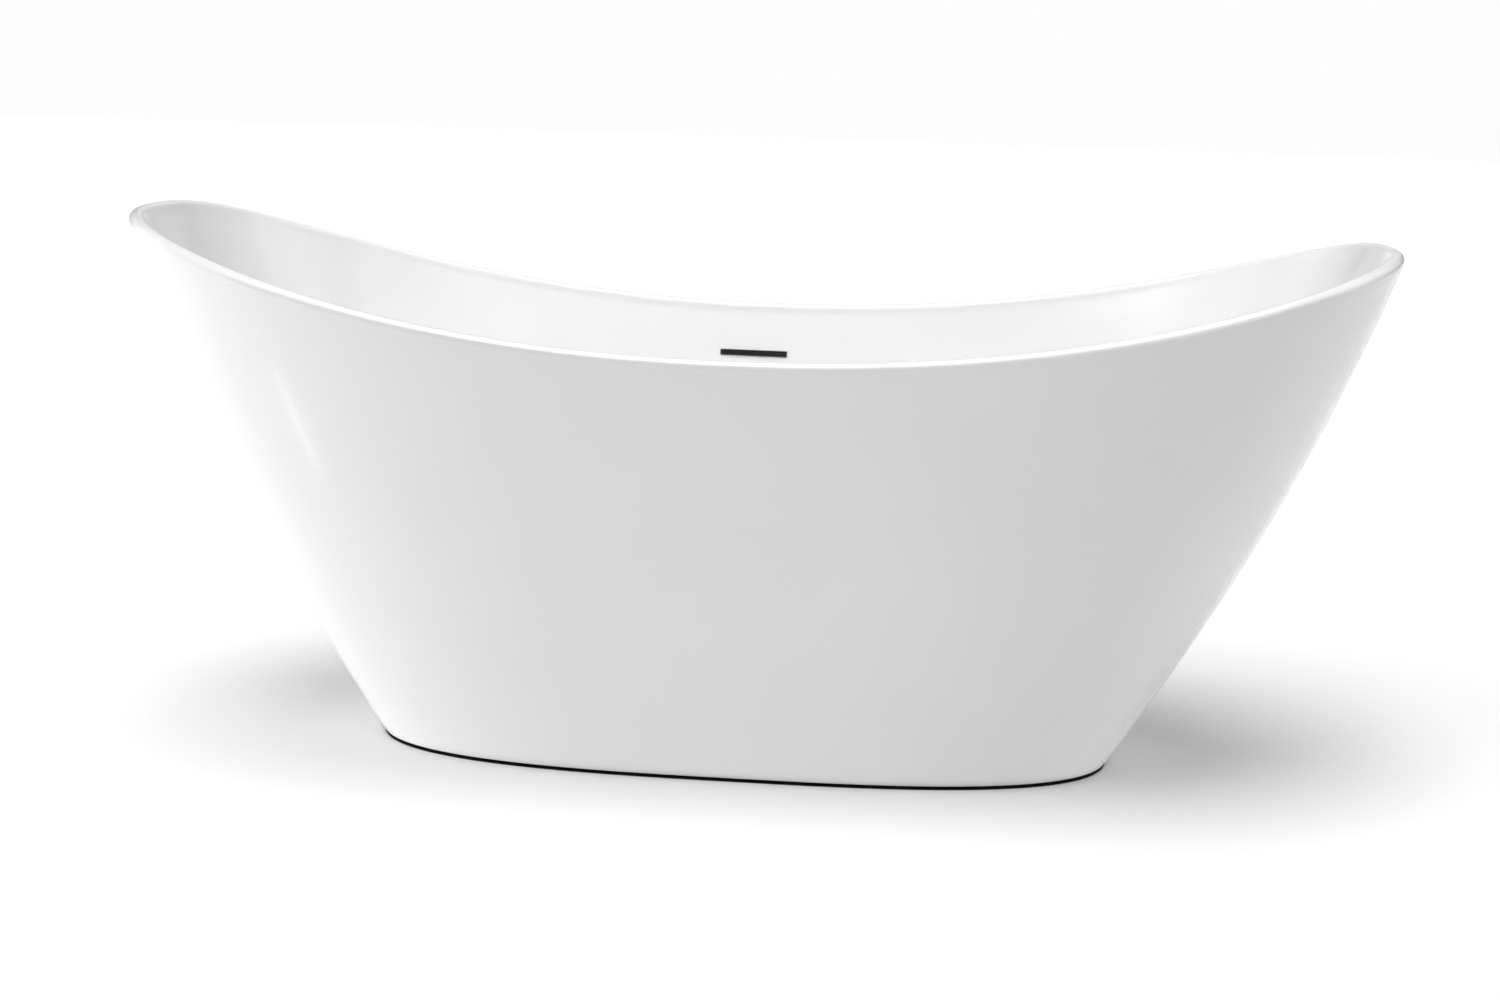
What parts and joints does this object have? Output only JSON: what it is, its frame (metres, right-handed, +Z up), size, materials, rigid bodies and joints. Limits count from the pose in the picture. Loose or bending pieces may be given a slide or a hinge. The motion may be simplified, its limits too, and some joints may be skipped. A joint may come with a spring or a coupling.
{
  "type": "freestanding bathtub",
  "caption": "Freestanding double slipper bathtub with raised ends, a skirt over a steel frame on levelling feet, a push waste and a slotted overflow.",
  "frame": {"origin": "on the floor under the middle of the tub", "axes": "+X along the tub, +Y towards the wall with the overflow, +Z up"},
  "size_m": [1.7, 0.78, 0.72],
  "materials": {
    "acrylic": "glossy white sanitary acrylic",
    "board": "resin-coated laminated board",
    "frame_paint": "grey powder coat on steel tube",
    "zinc_steel": "zinc-plated steel",
    "rubber": "matt black rubber",
    "chrome": "polished chrome",
    "pipe_plastic": "grey moulded plastic",
    "black_plastic": "matt black moulded plastic"
  },
  "bodies": {
    "root": {"basin": "acrylic", "skirt": "acrylic", "base_board": "board", "side_rail_front": "frame_paint", "side_rail_back": "frame_paint", "cross_rail_1": "frame_paint", "cross_rail_2": "frame_paint", "cross_rail_3": "frame_paint", "cross_rail_4": "frame_paint", "frame_screws": "zinc_steel", "skirt_bracket_1": "zinc_steel", "skirt_bracket_2": "zinc_steel", "skirt_bracket_3": "zinc_steel", "skirt_bracket_4": "zinc_steel", "bracket_screws": "zinc_steel", "foot_bushes": "zinc_steel", "foot_lock_nuts": "zinc_steel", "stopper_cartridge": "zinc_steel", "stopper_spring": "zinc_steel", "hose_clamps": "zinc_steel", "drain_gasket_upper": "rubber", "drain_gasket_lower": "rubber", "slip_washer": "rubber", "overflow_gasket": "rubber", "overflow_hose": "rubber", "drain_flange": "chrome", "drain_body": "pipe_plastic", "slip_nut": "pipe_plastic", "tailpiece": "pipe_plastic", "overflow_box": "pipe_plastic", "overflow_trim": "black_plastic"},
    "foot_1": {"foot_pad_1": "rubber"},
    "stud_1": {"foot_stud_1": "zinc_steel"},
    "foot_2": {"foot_pad_2": "rubber"},
    "stud_2": {"foot_stud_2": "zinc_steel"},
    "foot_3": {"foot_pad_3": "rubber"},
    "stud_3": {"foot_stud_3": "zinc_steel"},
    "foot_4": {"foot_pad_4": "rubber"},
    "stud_4": {"foot_stud_4": "zinc_steel"},
    "stopper": {"stopper_cap": "chrome", "stopper_seal": "rubber", "stopper_stem": "chrome"}
  },
  "joints": [
    {"name": "foot_1_height", "type": "slide", "parent": "root", "child": "foot_1", "axis": [0, 0, 1], "range_m": [-0.006, 0.009]},
    {"name": "stud_1_turn", "type": "hinge", "parent": "foot_1", "child": "stud_1", "pos_m": [-0.37, -0.13, 0.05], "axis": [0, 0, 1], "range_deg": [-1236, 1853]},
    {"name": "foot_2_height", "type": "slide", "parent": "root", "child": "foot_2", "axis": [0, 0, 1], "range_m": [-0.006, 0.009]},
    {"name": "stud_2_turn", "type": "hinge", "parent": "foot_2", "child": "stud_2", "pos_m": [-0.37, 0.13, 0.05], "axis": [0, 0, 1], "range_deg": [-1236, 1853]},
    {"name": "foot_3_height", "type": "slide", "parent": "root", "child": "foot_3", "axis": [0, 0, 1], "range_m": [-0.006, 0.009]},
    {"name": "stud_3_turn", "type": "hinge", "parent": "foot_3", "child": "stud_3", "pos_m": [0.37, -0.13, 0.05], "axis": [0, 0, 1], "range_deg": [-1236, 1853]},
    {"name": "foot_4_height", "type": "slide", "parent": "root", "child": "foot_4", "axis": [0, 0, 1], "range_m": [-0.006, 0.009]},
    {"name": "stud_4_turn", "type": "hinge", "parent": "foot_4", "child": "stud_4", "pos_m": [0.37, 0.13, 0.05], "axis": [0, 0, 1], "range_deg": [-1236, 1853]},
    {"name": "stopper_travel", "type": "slide", "parent": "root", "child": "stopper", "axis": [0, 0, 1], "range_m": [0, 0.01], "deforming": ["stopper_spring"]}
  ],
  "couplings": [
    {"joint": "stud_1_turn", "follows": "foot_1_height", "rad_per_m": 3590.4},
    {"joint": "stud_2_turn", "follows": "foot_2_height", "rad_per_m": 3590.4},
    {"joint": "stud_3_turn", "follows": "foot_3_height", "rad_per_m": 3590.4},
    {"joint": "stud_4_turn", "follows": "foot_4_height", "rad_per_m": 3590.4}
  ]
}
